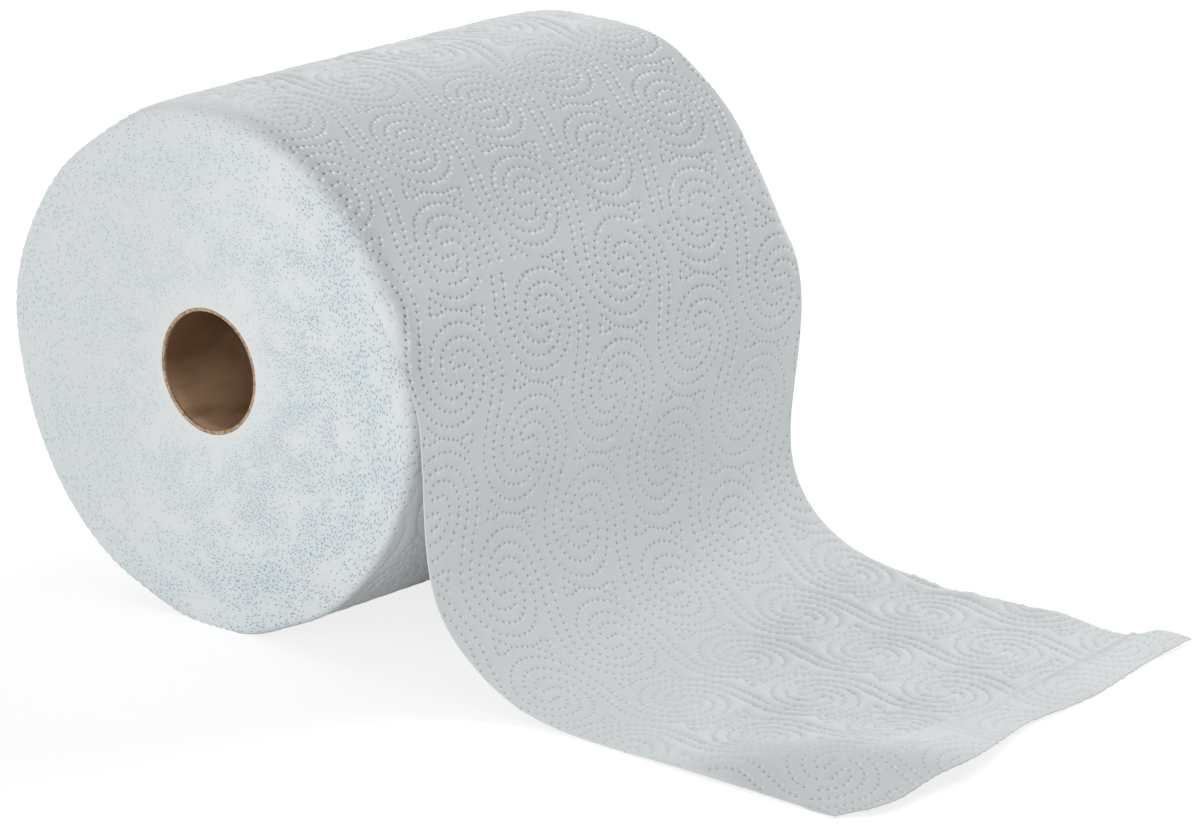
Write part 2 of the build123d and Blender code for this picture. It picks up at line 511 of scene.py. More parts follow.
class Nodes:
    """Short calls for building one material's node tree."""

    def __init__(self, material):
        material.use_nodes = True
        self.tree = material.node_tree
        self.tree.nodes.clear()

    def add(self, kind, **settings):
        node = self.tree.nodes.new(kind)
        for name, value in settings.items():
            setattr(node, name, value)
        return node

    def wire(self, value, socket):
        if isinstance(value, bpy.types.NodeSocket):
            self.tree.links.new(value, socket)
        elif value is not None:
            socket.default_value = value

    def math(self, operation, first, second=None, third=None):
        node = self.add("ShaderNodeMath", operation=operation)
        for value, socket in zip((first, second, third), node.inputs):
            self.wire(value, socket)
        return node.outputs[0]

    def mix(self, factor, first, second):
        node = self.add("ShaderNodeMix", data_type="RGBA")
        self.wire(factor, node.inputs[0])
        self.wire(first, node.inputs[6])
        self.wire(second, node.inputs[7])
        return node.outputs[2]

    def ramp(self, value, low, high):
        """A value remapped to 0 at low and 1 at high, with soft ends."""
        node = self.add("ShaderNodeMapRange", interpolation_type="SMOOTHSTEP")
        self.wire(value, node.inputs[0])
        node.inputs[1].default_value = low
        node.inputs[2].default_value = high
        return node.outputs[0]

    def scaled(self, value, factor):
        return self.math("MULTIPLY", value, factor)

    def split(self, vector):
        node = self.add("ShaderNodeSeparateXYZ")
        self.wire(vector, node.inputs[0])
        return node.outputs

    def join(self, first, second):
        node = self.add("ShaderNodeCombineXYZ")
        self.wire(first, node.inputs[0])
        self.wire(second, node.inputs[1])
        return node.outputs[0]

    def noise(self, vector, scale, detail, roughness=0.5):
        node = self.add("ShaderNodeTexNoise")
        self.wire(vector, node.inputs["Vector"])
        node.inputs["Scale"].default_value = scale
        node.inputs["Detail"].default_value = detail
        node.inputs["Roughness"].default_value = roughness
        return node.outputs[0]

    def mask(self, name):
        return self.add("ShaderNodeAttribute", attribute_name=name).outputs["Fac"]

    def position(self):
        return self.add("ShaderNodeTexCoord").outputs["Object"]

    def bump(self, height, distance, strength, under=None):
        node = self.add("ShaderNodeBump")
        node.inputs["Strength"].default_value = strength
        node.inputs["Distance"].default_value = distance
        self.wire(height, node.inputs["Height"])
        if under is not None:
            self.wire(under, node.inputs["Normal"])
        return node.outputs[0]

    def finish(self, colour, normal, roughness, specular):
        shader = self.add("ShaderNodeBsdfPrincipled")
        self.wire(colour, shader.inputs["Base Color"])
        self.wire(normal, shader.inputs["Normal"])
        self.wire(roughness, shader.inputs["Roughness"])
        shader.inputs["Specular IOR Level"].default_value = specular
        output = self.add("ShaderNodeOutputMaterial")
        self.wire(shader.outputs[0], output.inputs["Surface"])


# Materials

PAPER = (0.805, 0.839, 0.848, 1)
# Paper in painted shade, which the soft clouds use as their darker tone too
PAPER_SHADE = (0.645, 0.678, 0.69, 1)
# Painted light in the pits: painted shade on each pit's side away from the lamps, a painted highlight
# on the side toward them
PIT_PAINTED_SHADE = (0.15, 0.22, 0.27, 1)
PIT_PAINTED_HIGHLIGHT = (0.95, 0.96, 0.965, 1)
FACE_PAPER = (0.87, 0.898, 0.903, 1)
FACE_TINGED = (0.80, 0.85, 0.865, 1)
FACE_PAINTED_SHADE = (0.77, 0.805, 0.815, 1)
SPECK_TEAL = (0.24, 0.50, 0.56, 1)
SPECK_BLUE = (0.30, 0.44, 0.62, 1)
PAPER_ROUGHNESS, PAPER_SPECULAR = 0.9, 0.2

# Soft clouds in the paper's tone, and the pit tones between which the pit's painted shade and painted
# highlight show
CLOUD_SCALE, CLOUD_STRENGTH = 22, 0.25
CLOUDS = (0.35, 0.7)
PAINTED_SHADE_SPAN = (0.18, 0.75)
PAINTED_HIGHLIGHT_SPAN = (0.30, 0.85)

# Fibres and felt: scale, detail and roughness of the noise, height and strength
FIBRES = (1500, 3, 0.6, 0.00006, 0.5)
FELT = (260, 2, 0.5, 0.00012, 0.4)

# Specks in the cut ends, in metres: they start some way off the core and crowd in
# patches. Toward the upper left, which is low in x less a share of z, the face takes a
# painted shade and its specks are fewer and fainter.
FACE_SLANT = -0.35
FACE_SHADE_SPAN = (0.01, -0.06)
FACE_SHADE_STRENGTH = 0.8
SPECKS_FILL = (-0.025, 0.05)
SPECKS_FROM = (0.020, 0.036)
PATCHES = (0.24, 0.72)
PATCH_ACROSS, PATCH_ROUND = 75.0, 3.2
WANDER_SCALE, WANDER_REACH = 400, 0.0009
SPECK_SOLID = 0.7
TEAL_TO_BLUE = (0.45, 0.75)
LEAST_FULL = 0.5
FEW_SCALE, FEW_SIZE, FEW_GROWTH, FEW_STRENGTH = 980, 0.27, 0.5, 0.38
MANY_SCALE, MANY_SIZE, MANY_STRENGTH = 1400, 0.30, 0.30

# Metres of speck pattern per radian round the face: less than the arc, so that the
# specks come out as short dashes along the turns
DASH_STRETCH = 0.040


def fibre_bump(nodes, place):
    """Fine fibres over a coarser felt, as a bump."""
    normal = None
    for scale, detail, roughness, height, strength in (FIBRES, FELT):
        normal = nodes.bump(nodes.noise(place, scale, detail, roughness), height, strength, normal)
    return normal


def speck_layer(nodes, place, scale, size, crowding):
    """Small marks, one at most in each cell, where crowding is above the cell's draw."""
    cells = nodes.add("ShaderNodeTexVoronoi", voronoi_dimensions="2D")
    nodes.wire(place, cells.inputs["Vector"])
    cells.inputs["Scale"].default_value = scale
    draw = nodes.add("ShaderNodeSeparateColor")
    nodes.wire(cells.outputs["Color"], draw.inputs[0])
    outside = nodes.ramp(cells.outputs["Distance"], SPECK_SOLID * size, size)
    spot = nodes.math("SUBTRACT", 1.0, outside)
    shown = nodes.math("LESS_THAN", draw.outputs[0], crowding)
    tone = nodes.mix(nodes.ramp(draw.outputs[1], *TEAL_TO_BLUE), SPECK_TEAL, SPECK_BLUE)
    return nodes.math("MULTIPLY", spot, shown), tone


def embossed_side(nodes, place):
    """Colour of the embossed paper: clouds, painted shade, and the painted shade and painted highlight
    on the two sides of each pit.
    """
    clouds = nodes.scaled(nodes.ramp(nodes.noise(place, CLOUD_SCALE, 2), *CLOUDS), CLOUD_STRENGTH)
    colour = nodes.mix(nodes.math("MAXIMUM", nodes.mask("shade"), clouds), PAPER, PAPER_SHADE)
    # The pit mask paints shade on each pit's side away from the lamps and a highlight on the side
    # toward them
    pit = nodes.mask("pit")
    colour = nodes.mix(nodes.ramp(pit, *PAINTED_SHADE_SPAN), colour, PIT_PAINTED_SHADE)
    return nodes.mix(nodes.ramp(nodes.scaled(pit, -1.0), *PAINTED_HIGHLIGHT_SPAN), colour, PIT_PAINTED_HIGHLIGHT)


def cut_face(nodes, place):
    """Colour of the turns' cut ends, with coloured fibres as dashes round the axis."""
    x, _, z = nodes.split(place)
    length = nodes.add("ShaderNodeVectorMath", operation="LENGTH")
    nodes.wire(nodes.join(x, z), length.inputs[0])
    radius = length.outputs["Value"]
    turn = nodes.math("ARCTAN2", z, x)
    arcs = nodes.join(nodes.scaled(radius, PATCH_ACROSS), nodes.scaled(turn, PATCH_ROUND))
    patches = nodes.ramp(nodes.noise(arcs, 1.0, 3, 0.6), *PATCHES)
    tinge = nodes.math("MULTIPLY", nodes.ramp(radius, *SPECKS_FROM), patches)
    low_right = nodes.math("MULTIPLY_ADD", z, FACE_SLANT, x)
    filled = nodes.ramp(low_right, *SPECKS_FILL)
    fullness = nodes.math("MULTIPLY_ADD", filled, 1 - LEAST_FULL, LEAST_FULL)
    crowding = nodes.math("MULTIPLY", tinge, fullness)
    wander = nodes.add("ShaderNodeTexNoise")
    nodes.wire(place, wander.inputs["Vector"])
    wander.inputs["Scale"].default_value = WANDER_SCALE
    bent = nodes.add("ShaderNodeVectorMath", operation="MULTIPLY_ADD")
    nodes.wire(wander.outputs["Color"], bent.inputs[0])
    bent.inputs[1].default_value = (WANDER_REACH, WANDER_REACH, WANDER_REACH)
    nodes.wire(nodes.join(radius, nodes.scaled(turn, DASH_STRETCH)), bent.inputs[2])
    few, few_tone = speck_layer(nodes, bent.outputs[0], FEW_SCALE, FEW_SIZE, crowding)
    many, many_tone = speck_layer(nodes, bent.outputs[0], MANY_SCALE, MANY_SIZE, crowding)
    face = nodes.mix(tinge, FACE_PAPER, FACE_TINGED)
    # Painted shade toward the upper left of the face
    face = nodes.mix(nodes.scaled(nodes.ramp(low_right, *FACE_SHADE_SPAN), FACE_SHADE_STRENGTH), face, FACE_PAINTED_SHADE)
    face = nodes.mix(nodes.scaled(many, MANY_STRENGTH), face, many_tone)
    few_strength = nodes.math("MULTIPLY_ADD", fullness, FEW_GROWTH, FEW_STRENGTH)
    return nodes.mix(nodes.math("MULTIPLY", few, few_strength), face, few_tone)


def paper_material(name, cut_colour):
    """Embossed paper whose cut places take another colour."""
    material = bpy.data.materials.new(name)
    nodes = Nodes(material)
    place = nodes.position()
    cut = cut_colour(nodes, place)
    colour = nodes.mix(nodes.mask("cut"), embossed_side(nodes, place), cut)
    nodes.finish(colour, fibre_bump(nodes, place), PAPER_ROUGHNESS, PAPER_SPECULAR)
    return material


BOARD = (0.30, 0.17, 0.088, 1)
BOARD_DARK = (0.18, 0.10, 0.05, 1)
BOARD_CUT = (0.60, 0.44, 0.30, 1)
BOARD_PAINTED_LIGHT = (0.68, 0.455, 0.28, 1)
BOARD_ROUGHNESS, BOARD_SPECULAR = 0.75, 0.25

# Tones inside the core: painted shade above, dark at the near mouth, and painted light below and deeper
# in
PAINTED_SHADE_ABOVE = (0.0, 0.018)
DARK_MOUTH = (-0.056, -0.094)
MOUTH_STRENGTH = 0.85
PAINTED_LIGHT_BELOW = (0.002, -0.018)
PAINTED_LIGHT_DEEPER = (-0.076, -0.054)
DEEPER_STRENGTH = 0.8
PAINTED_LIGHT_STRENGTH = 0.9

# Grain along the core, pale blotches, patches of the painted light and the grain of the
# cut ends: the scale of each noise and the values between which it shows
GRAIN_STRETCH = (1, 0.25, 1)
GRAIN_SCALE, GRAIN = 420, (0.3, 0.75)
GRAIN_HEIGHT, GRAIN_STRENGTH = 0.00015, 0.6
BLOTCH_SCALE, BLOTCHES, BLOTCH_STRENGTH = 45, (0.4, 0.75), 0.35
LIGHT_BREAKUP_SCALE, LIGHT_BREAKUP = 120, (0.1, 0.5)
END_SCALE, END_GRAIN = 900, (0.35, 0.7)


def core_cardboard():
    """Brown wound board, with paler cut ends."""
    material = bpy.data.materials.new("core_cardboard")
    nodes = Nodes(material)
    place = nodes.position()
    _, y, z = nodes.split(place)
    stretched = nodes.add("ShaderNodeMapping")
    nodes.wire(place, stretched.inputs["Vector"])
    stretched.inputs["Scale"].default_value = GRAIN_STRETCH
    fibres = stretched.outputs[0]
    grain = nodes.noise(fibres, GRAIN_SCALE, 4, 0.65)
    colour = nodes.mix(nodes.ramp(grain, *GRAIN), BOARD_DARK, BOARD)
    blotches = nodes.ramp(nodes.noise(place, BLOTCH_SCALE, 3), *BLOTCHES)
    colour = nodes.mix(nodes.scaled(blotches, BLOTCH_STRENGTH), colour, BOARD_CUT)
    # Painted shade above, and darker at the near mouth
    colour = nodes.mix(nodes.ramp(z, *PAINTED_SHADE_ABOVE), colour, BOARD_DARK)
    mouth = nodes.scaled(nodes.ramp(y, *DARK_MOUTH), MOUTH_STRENGTH)
    colour = nodes.mix(mouth, colour, BOARD_DARK)
    # Painted light below and deeper in, broken into patches
    deeper = nodes.scaled(nodes.ramp(y, *PAINTED_LIGHT_DEEPER), DEEPER_STRENGTH)
    painted_light = nodes.math("MAXIMUM", deeper, nodes.ramp(z, *PAINTED_LIGHT_BELOW))
    light_breakup = nodes.ramp(nodes.noise(fibres, LIGHT_BREAKUP_SCALE, 3), *LIGHT_BREAKUP)
    patchy_light = nodes.scaled(nodes.math("MULTIPLY", painted_light, light_breakup), PAINTED_LIGHT_STRENGTH)
    colour = nodes.mix(patchy_light, colour, BOARD_PAINTED_LIGHT)
    end_grain = nodes.ramp(nodes.noise(place, END_SCALE, 3), *END_GRAIN)
    colour = nodes.mix(nodes.mask("cut"), colour, nodes.mix(end_grain, BOARD_CUT, BOARD))
    relief = nodes.bump(grain, GRAIN_HEIGHT, GRAIN_STRENGTH)
    nodes.finish(colour, relief, BOARD_ROUGHNESS, BOARD_SPECULAR)
    return material


# Wound roll

def soft_dents(angle, y):
    """How far the uneven places push the roll's side out."""
    pushed = 0.0
    for degrees, along_axis, out, wide, long in UNEVEN:
        away = degrees_from(angle, math.radians(degrees))
        pushed = pushed + out * bell(away, wide) * bell(y - along_axis, long)
    return pushed


def roll_radius(angle, y):
    """Distance from the axis to the roll's side, with its winding step and soft dents."""
    step = TURN_STEP * (1 - smoothstep(np.abs(y), *STEP_FADES))
    return ROLL_RADIUS - step * (angle - LEAVE_ANGLE) / (2 * math.pi) + soft_dents(angle, y)


def rim_radius(side, angle):
    """Radius of the rim's rounding: the near rim is crisp below and behind."""
    degrees = (np.degrees(angle) - LOWEST_DEGREE) % 360 + LOWEST_DEGREE
    near, far = (np.interp(degrees, *zip(*rim)) for rim in (NEAR_RIM, FAR_RIM))
    return np.where(side < HALF_WIDTH, near, far)


def over_rim(side, radius=RIM_RADIUS):
    """A web bent over the rims: place along the axis, drop toward it and the bend."""
    from_middle = np.abs(side - HALF_WIDTH)
    straight = HALF_WIDTH - radius
    bend = np.clip((from_middle - straight) / radius, 0, math.pi / 2)
    down_face = np.maximum(from_middle - straight - radius * math.pi / 2, 0)
    y = np.sign(side - HALF_WIDTH) * (np.minimum(from_middle, straight) + radius * np.sin(bend))
    return y, radius * (1 - np.cos(bend)) + down_face, bend


def wound_place(flat):
    """Where a flat point of the outer turn lies on the roll."""
    side, along = flat[:, 0], flat[:, 1]
    angle = -along / PATTERN_RADIUS
    y, drop, _ = over_rim(side, rim_radius(side, angle))
    wound = roll_radius(angle, y)
    free = loose_section(np.clip(side / WEB_WIDTH, 0, 1), along - LEAVE_ALONG)
    x = np.where(along > LEAVE_ALONG, free[0], wound * np.cos(angle))
    z = np.where(along > LEAVE_ALONG, free[1], wound * np.sin(angle))
    kept = 1 - drop / np.hypot(x, z)
    return np.stack([x * kept, y, z * kept], 1)


def face_relief(radius, angle):
    """The cut ends of the turns stand a little in and out, in soft uneven rings."""
    rings = 0.0
    for height, rate, wander, lobes, start in FACE_RINGS:
        rings = rings + height * np.sin(radius * rate + wander * np.sin(lobes * angle + start))
    return rings * (smoothstep(radius, *RINGS_START) * (1 - smoothstep(radius, *RINGS_END)))


def loose_on_top(flat):
    """How loosely the outer turn lies: taut on the pulled side, loosest on top."""
    degrees = -np.degrees(flat[:, 1] / PATTERN_RADIUS)
    return smoothstep(degrees, *LOOSENS) * (1 - STIFFENED * smoothstep(degrees, *STIFFENS))


def painted_shade_by_angle(flat):
    """How much painted shade the paper has on the roll's pulled side, by degrees round the axis."""
    degrees = -np.degrees(flat[:, 1] / PATTERN_RADIUS)
    shade = 0.5 * sum(smoothstep(degrees, *rise) for rise in SHADE_RISES)
    return shade * (1 - smoothstep(degrees, *SHADE_FALLS))


def wound_roll(material):
    """Closed mesh of all the turns: embossed outer turn, both cut ends and the bore."""
    low = np.array([HALF_WIDTH - RIM_REACH, JOIN_ALONG - TURN_LENGTH])
    high = np.array([HALF_WIDTH + RIM_REACH, JOIN_ALONG])
    columns = round(TURN_LENGTH / OUTLINE_PITCH)
    rows = round((high[0] - low[0]) / OUTLINE_PITCH)
    sides = np.linspace(low[0], high[0], rows + 1)
    alongs = np.linspace(low[1], high[1], columns + 1)
    outline = np.vstack([
        np.stack([sides[:-1], np.full(rows, low[1])], 1),
        np.stack([np.full(columns, high[0]), alongs[:-1]], 1),
        np.stack([sides[:0:-1], np.full(rows, high[1])], 1),
        np.stack([np.full(columns, low[0]), alongs[:0:-1]], 1),
    ])
    dots = pattern_dots(low, high)
    flat, triangles, height, tone = embossed_flat(
        outline, dots, ROLL_RING_POINTS, ROLL_FILL_PITCH, loose_on_top
    )
    angle = -flat[:, 1] / PATTERN_RADIUS
    bend = over_rim(flat[:, 0], rim_radius(flat[:, 0], angle))[2]
    from_middle = np.abs(flat[:, 0] - HALF_WIDTH)
    pressed = np.cos(bend) * (1 - RIM_PRESSED * smoothstep(from_middle, *RIM_PRESSES))
    points = wound_place(flat) + surface_normals(wound_place, flat) * (height * pressed)[:, None]
    points[:, 2] = np.maximum(points[:, 2], SURFACE)

    all_points, all_faces = [points], triangles.tolist()
    # The pit mask holds the pits' painted shade and painted highlight, and the shade mask holds painted
    # shade
    masks = {"cut": [smoothstep(bend, *CUT_BEND)], "pit": [tone], "shade": [painted_shade_by_angle(flat)]}
    count = len(points)

    def add_patch(patch, faces):
        nonlocal count
        all_points.append(patch)
        all_faces.extend([count + k for k in face] for face in faces)
        masks["cut"].append(np.ones(len(patch)))
        masks["pit"].append(np.zeros(len(patch)))
        masks["shade"].append(np.zeros(len(patch)))
        count += len(patch)

    def quads(row_count):
        """Faces between rows of points, each row one longer than the columns."""
        starts = [row * (columns + 1) + k for row in range(row_count) for k in range(columns)]
        return [[k, k + 1, k + columns + 2, k + columns + 1] for k in starts]

    bore = CORE_RADIUS + BORE_GAP
    middle = wound_place(np.stack([np.full(columns + 1, low[0]), alongs], 1))
    angles = np.unwrap(np.arctan2(middle[:, 2], middle[:, 0]))
    angles[0] = angles[-1] + 2 * math.pi
    shares = np.linspace(0, 1, FACE_ROWS + 1)
    for end, edge_side in ((-1, low[0]), (1, high[0])):
        rim = wound_place(np.stack([np.full(columns + 1, edge_side), alongs], 1))
        rim[:, 2] = np.maximum(rim[:, 2], SURFACE)
        rim_distance = np.hypot(rim[:, 0], rim[:, 2])
        closed = rim_distance.copy()
        closed[0] = closed[-1] = (rim_distance[0] + rim_distance[-1]) / 2
        patch = [rim]
        for share in shares[1:]:
            radius = closed + (bore - closed) * share
            y = rim[:, 1] + end * face_relief(radius, angles)
            patch.append(np.stack([radius * np.cos(angles), y, radius * np.sin(angles)], 1))
        add_patch(np.vstack(patch), quads(FACE_ROWS) + [[0, columns, columns + 1]])

    ends = np.full(columns + 1, HALF_WIDTH)
    near = np.stack([bore * np.cos(angles), -ends, bore * np.sin(angles)], 1)
    far = near * [1, -1, 1]
    add_patch(np.vstack([near, far]), quads(1))

    # The step between the outer turn's two ends, closed along the whole web
    last = 2 * rows + columns
    all_faces.extend([k, k + 1, last - k - 1, last - k] for k in range(rows))

    masks = {name: np.concatenate(values) for name, values in masks.items()}
    roll = new_mesh("wound_roll", np.vstack(all_points), all_faces, masks, material)
    weld(roll)
    return roll


# Loose sheet

def smooth_curve(points, start_direction):
    """Natural cubic spline through points, given how it sets off, as close points."""
    points = np.asarray(points, float)
    knots = lengths_to(points)
    gaps = np.diff(knots)
    slopes = np.diff(points, axis=0) / gaps[:, None]
    size = len(points)
    matrix = np.zeros((size, size))
    right = np.zeros((size, 2))
    matrix[0, :2] = 2 * gaps[0], gaps[0]
    right[0] = 6 * (slopes[0] - start_direction)
    matrix[-1, -1] = 1
    for k in range(1, size - 1):
        matrix[k, k - 1:k + 2] = gaps[k - 1], 2 * (gaps[k - 1] + gaps[k]), gaps[k]
        right[k] = 6 * (slopes[k] - slopes[k - 1])
    second = np.linalg.solve(matrix, right)
    places = np.linspace(0, knots[-1], CURVE_POINTS)
    k = np.clip(np.searchsorted(knots, places, side="right") - 1, 0, size - 2)
    after, before = (knots[k + 1] - places)[:, None], (places - knots[k])[:, None]
    gap = gaps[k][:, None]
    return (
        second[k] * after**3 / (6 * gap)
        + second[k + 1] * before**3 / (6 * gap)
        + (points[k] / gap - second[k] * gap / 6) * after
        + (points[k + 1] / gap - second[k + 1] * gap / 6) * before
    )


def edge_course(hang, touchdown):
    """One side edge of the sheet as close points, with the length run to each."""
    leave = (ROLL_RADIUS * math.cos(LEAVE_ANGLE), ROLL_RADIUS * math.sin(LEAVE_ANGLE))
    top = SURFACE + LYING_TOP
    points = [leave]
    points += [(ROLL_RADIUS + out, level * REST_HEIGHT) for out, level in hang]
    points += [(ROLL_RADIUS + touchdown + more, top) for more in LYING_POINTS]
    setting_off = np.array([math.sin(LEAVE_ANGLE), -math.cos(LEAVE_ANGLE)])
    course = smooth_curve(points, setting_off)
    return course, lengths_to(course)


near_course = edge_course(NEAR_HANG, NEAR_TOUCHDOWN)
far_course = edge_course(FAR_HANG, FAR_TOUCHDOWN)


def loose_section(share, run):
    """Across and up, where the loose web lies at a share of its width and a run."""
    where = []
    for axis in (0, 1):
        near = np.interp(run, near_course[1], near_course[0][:, axis])
        far = np.interp(run, far_course[1], far_course[0][:, axis])
        where.append(near + (far - near) * share)
    x, z = where
    dent = soft_dents(LEAVE_ANGLE, (share - 0.5) * WEB_WIDTH) * (1 - smoothstep(run, *DENTS_FADE))
    grown = 1 + dent / np.hypot(x, z)
    return x * grown, z * grown


def lying_height(x, y):
    """How far the lying sheet stands off the surface: its ridge, its ripple and lifts."""
    start_x, start_y = RIDGE_START
    swung = np.clip((x - start_x) / RIDGE_LENGTH, 0, RIDGE_REACH) ** RIDGE_CURVE
    ridge_y = start_y + RIDGE_SWING * swung
    sinking = 1 - RIDGE_SUNK * smoothstep(x, *RIDGE_SINKS)
    ridge = RIDGE_HEIGHT * smoothstep(x, *RIDGE_RISES) * sinking
    rise = np.clip((y + HALF_WIDTH) / (ridge_y + HALF_WIDTH), 0, 1)
    ridge *= np.where(y < ridge_y, np.sin(rise * math.pi / 2), bell(y - ridge_y, RIDGE_WIDTH))
    ripple = bell(y - RIPPLE_PLACE, RIPPLE_WIDTH) * smoothstep(x, *RIPPLE_STARTS)
    ripple *= 1 - smoothstep(x, *RIPPLE_ENDS)
    ripple *= smoothstep(y, -HALF_WIDTH, -HALF_WIDTH + RIPPLE_EDGE)
    height = ridge + ripple
    for lift, at_x, at_y, wide_x, wide_y in LIFTS:
        height = height + lift * bell(y - at_y, wide_y) * bell(x - at_x, wide_x)
    return height


def loose_place(flat):
    """Where a flat point of the loose sheet lies in space."""
    side, along = flat[:, 0], flat[:, 1] - LEAVE_ALONG
    x, z = loose_section(np.clip(side / WEB_WIDTH, *SHARE_LIMITS), along)
    near_wrapped = 1 - smoothstep(along, *NEAR_UNBENDS)
    far_wrapped = 1 - smoothstep(along, *FAR_UNBENDS)
    wrapped = np.where(side < HALF_WIDTH, near_wrapped, far_wrapped)
    bent_y, drop, _ = over_rim(side)
    kept = 1 - wrapped * drop / np.hypot(x, z)
    x, z = x * kept, z * kept
    y = side - HALF_WIDTH
    y = y + wrapped * (bent_y - y)
    lying = smoothstep(x, *LYING)
    return np.stack([x, y, z + lying * lying_height(x, y)], 1)


def sheet_outline():
    """Flat outline of the loose sheet, from the leave line round its torn end."""
    def edge(table, sign, base):
        runs = np.arange(FREE_RUN, 1 + PERFORATION, OUTLINE_PITCH)
        inset = np.interp(runs, *zip(*table))
        return np.stack([base + sign * inset, runs], 1)

    near, far = edge(NEAR_INSET, 1, 0.0), edge(FAR_INSET, -1, WEB_WIDTH)
    far = far[far[:, 1] < NOTCH[1] - 1]
    sides = np.linspace(far[0, 0], near[0, 0], LEAVE_POINTS)
    top = np.stack([sides, np.full(LEAVE_POINTS, FREE_RUN)], 1)
    end = evenly(smooth_curve(TORN_END, TORN_DIRECTION), TORN_PITCH)
    tear = np.random.default_rng(TEAR_SEED).normal(0, TEAR_ROUGHNESS, len(end))
    tear[0] = tear[-1] = 0
    end[:, 1] += tear
    strip = evenly([end[-1], STRIP_CORNER, NOTCH], STRIP_PITCH)[1:]
    near_tail = near[near[:, 1] < end[0, 1] - 1]
    loop = np.vstack([top[:-1], near_tail, end, strip, far[:0:-1]])
    loop[:, 1] += LEAVE_ALONG
    return loop


def drooping_corner(flat):
    """The near corner, which hangs off its ridge and is taut again."""
    run = flat[:, 1] - LEAVE_ALONG
    from_ridge = flat[:, 0] - DROOP_SLANT * np.maximum(run - DROOPS[1], 0)
    return smoothstep(run, *DROOPS) * (1 - smoothstep(from_ridge, *DROOP_SIDE))


def settled_on_floor(flat):
    """Where the sheet has come to rest on the floor, later along its near edge."""
    return smoothstep(flat[:, 1] - LEAVE_ALONG + SETTLE_SLANT * flat[:, 0], *SETTLES)


def loose_on_floor(flat):
    """How loosely the sheet lies: taut where it hangs, looser on the floor."""
    run = flat[:, 1] - LEAVE_ALONG
    torn_strip = smoothstep(run, PERFORATION - STRIP_MARGIN, PERFORATION)
    loose = settled_on_floor(flat) * (SETTLED - FAR_TAUTER * smoothstep(flat[:, 0], *FAR_SIDE))
    return loose * (1 - STRIP_TAUTER * torn_strip) * (1 - DROOP_TAUTER * drooping_corner(flat))


def sheet_painted_shade(flat):
    """How much painted shade the loose sheet has where it hangs, turns or droops."""
    run = flat[:, 1] - LEAVE_ALONG
    turning = TURN_SHADE * smoothstep(run, *TURNS) * (1 - settled_on_floor(flat))
    return np.maximum(np.maximum(painted_shade_by_angle(flat), turning), DROOP_SHADE * drooping_corner(flat))


def loose_sheet(material):
    """Thin closed mesh of the web from the leave line to its torn end."""
    outline = sheet_outline()
    low, high = outline.min(axis=0), outline.max(axis=0)
    dots = pattern_dots(low, high, PATTERN_DRIFT)
    across = np.linspace(CREASE_MARGIN, WEB_WIDTH - CREASE_MARGIN, CREASE_POINTS)
    seam = np.vstack([
        np.stack([across, np.full(len(across), LEAVE_ALONG + PERFORATION + off)], 1)
        for off in (-CREASE_HALF, 0.0, CREASE_HALF)
    ])
    flat, triangles, height, tone = embossed_flat(
        outline, dots, SHEET_RING_POINTS, SHEET_FILL_PITCH, loose_on_floor, seam
    )
    rim_count = len(outline)
    run = flat[:, 1] - LEAVE_ALONG
    # The pits' painted shade and painted highlight pale down the run and on the drooping corner
    tone *= 1 - PITS_PALER * smoothstep(run, *PITS_PALE) - DROOP_PALER * drooping_corner(flat)
    beside = np.clip(np.abs(run - PERFORATION) / CREASE_HALF, 0, 1)
    crease = CREASE_LEVEL + CREASE_LIFT * smoothstep(flat[:, 0], *CREASE_LIFTS)
    level = height * beside + (1 - beside) * crease
    bend = over_rim(flat[:, 0])[2] * (1 - smoothstep(run, *NEAR_UNBENDS))
    level *= np.cos(bend)
    far_from_join = smoothstep(run[:rim_count], FREE_RUN, FREE_RUN + EDGE_EASE)
    level[:rim_count] -= far_from_join * np.maximum(level[:rim_count] - EDGE_LEVEL, 0)
    place, normal = loose_place(flat), surface_normals(loose_place, flat)
    top = place + normal * level[:, None]
    under = place + normal * (level - SHEET_THICKNESS)[:, None]
    under[:, 2] = np.maximum(under[:, 2], SURFACE)
    top[:, 2] = np.maximum(top[:, 2], under[:, 2] + LEAST_THICKNESS)
    count = len(flat)
    loop = np.arange(rim_count)
    after = np.roll(loop, -1)
    wall = np.stack([loop, after, after + count, loop + count], 1)
    faces = triangles.tolist() + (triangles[:, ::-1] + count).tolist() + wall.tolist()
    # The pit mask holds the pits' painted shade and painted highlight, and the shade mask holds painted
    # shade
    masks = {
        "pit": np.concatenate([tone, UNDERSIDE_TONE * tone]),
        "cut": np.tile(smoothstep(bend, *CUT_BEND), 2),
        "shade": np.tile(sheet_painted_shade(flat), 2),
    }
    sheet = new_mesh("loose_sheet", np.vstack([top, under]), faces, masks, material)
    weld(sheet)
    return sheet, flat[:, 1].max() - JOIN_ALONG


# Core tube

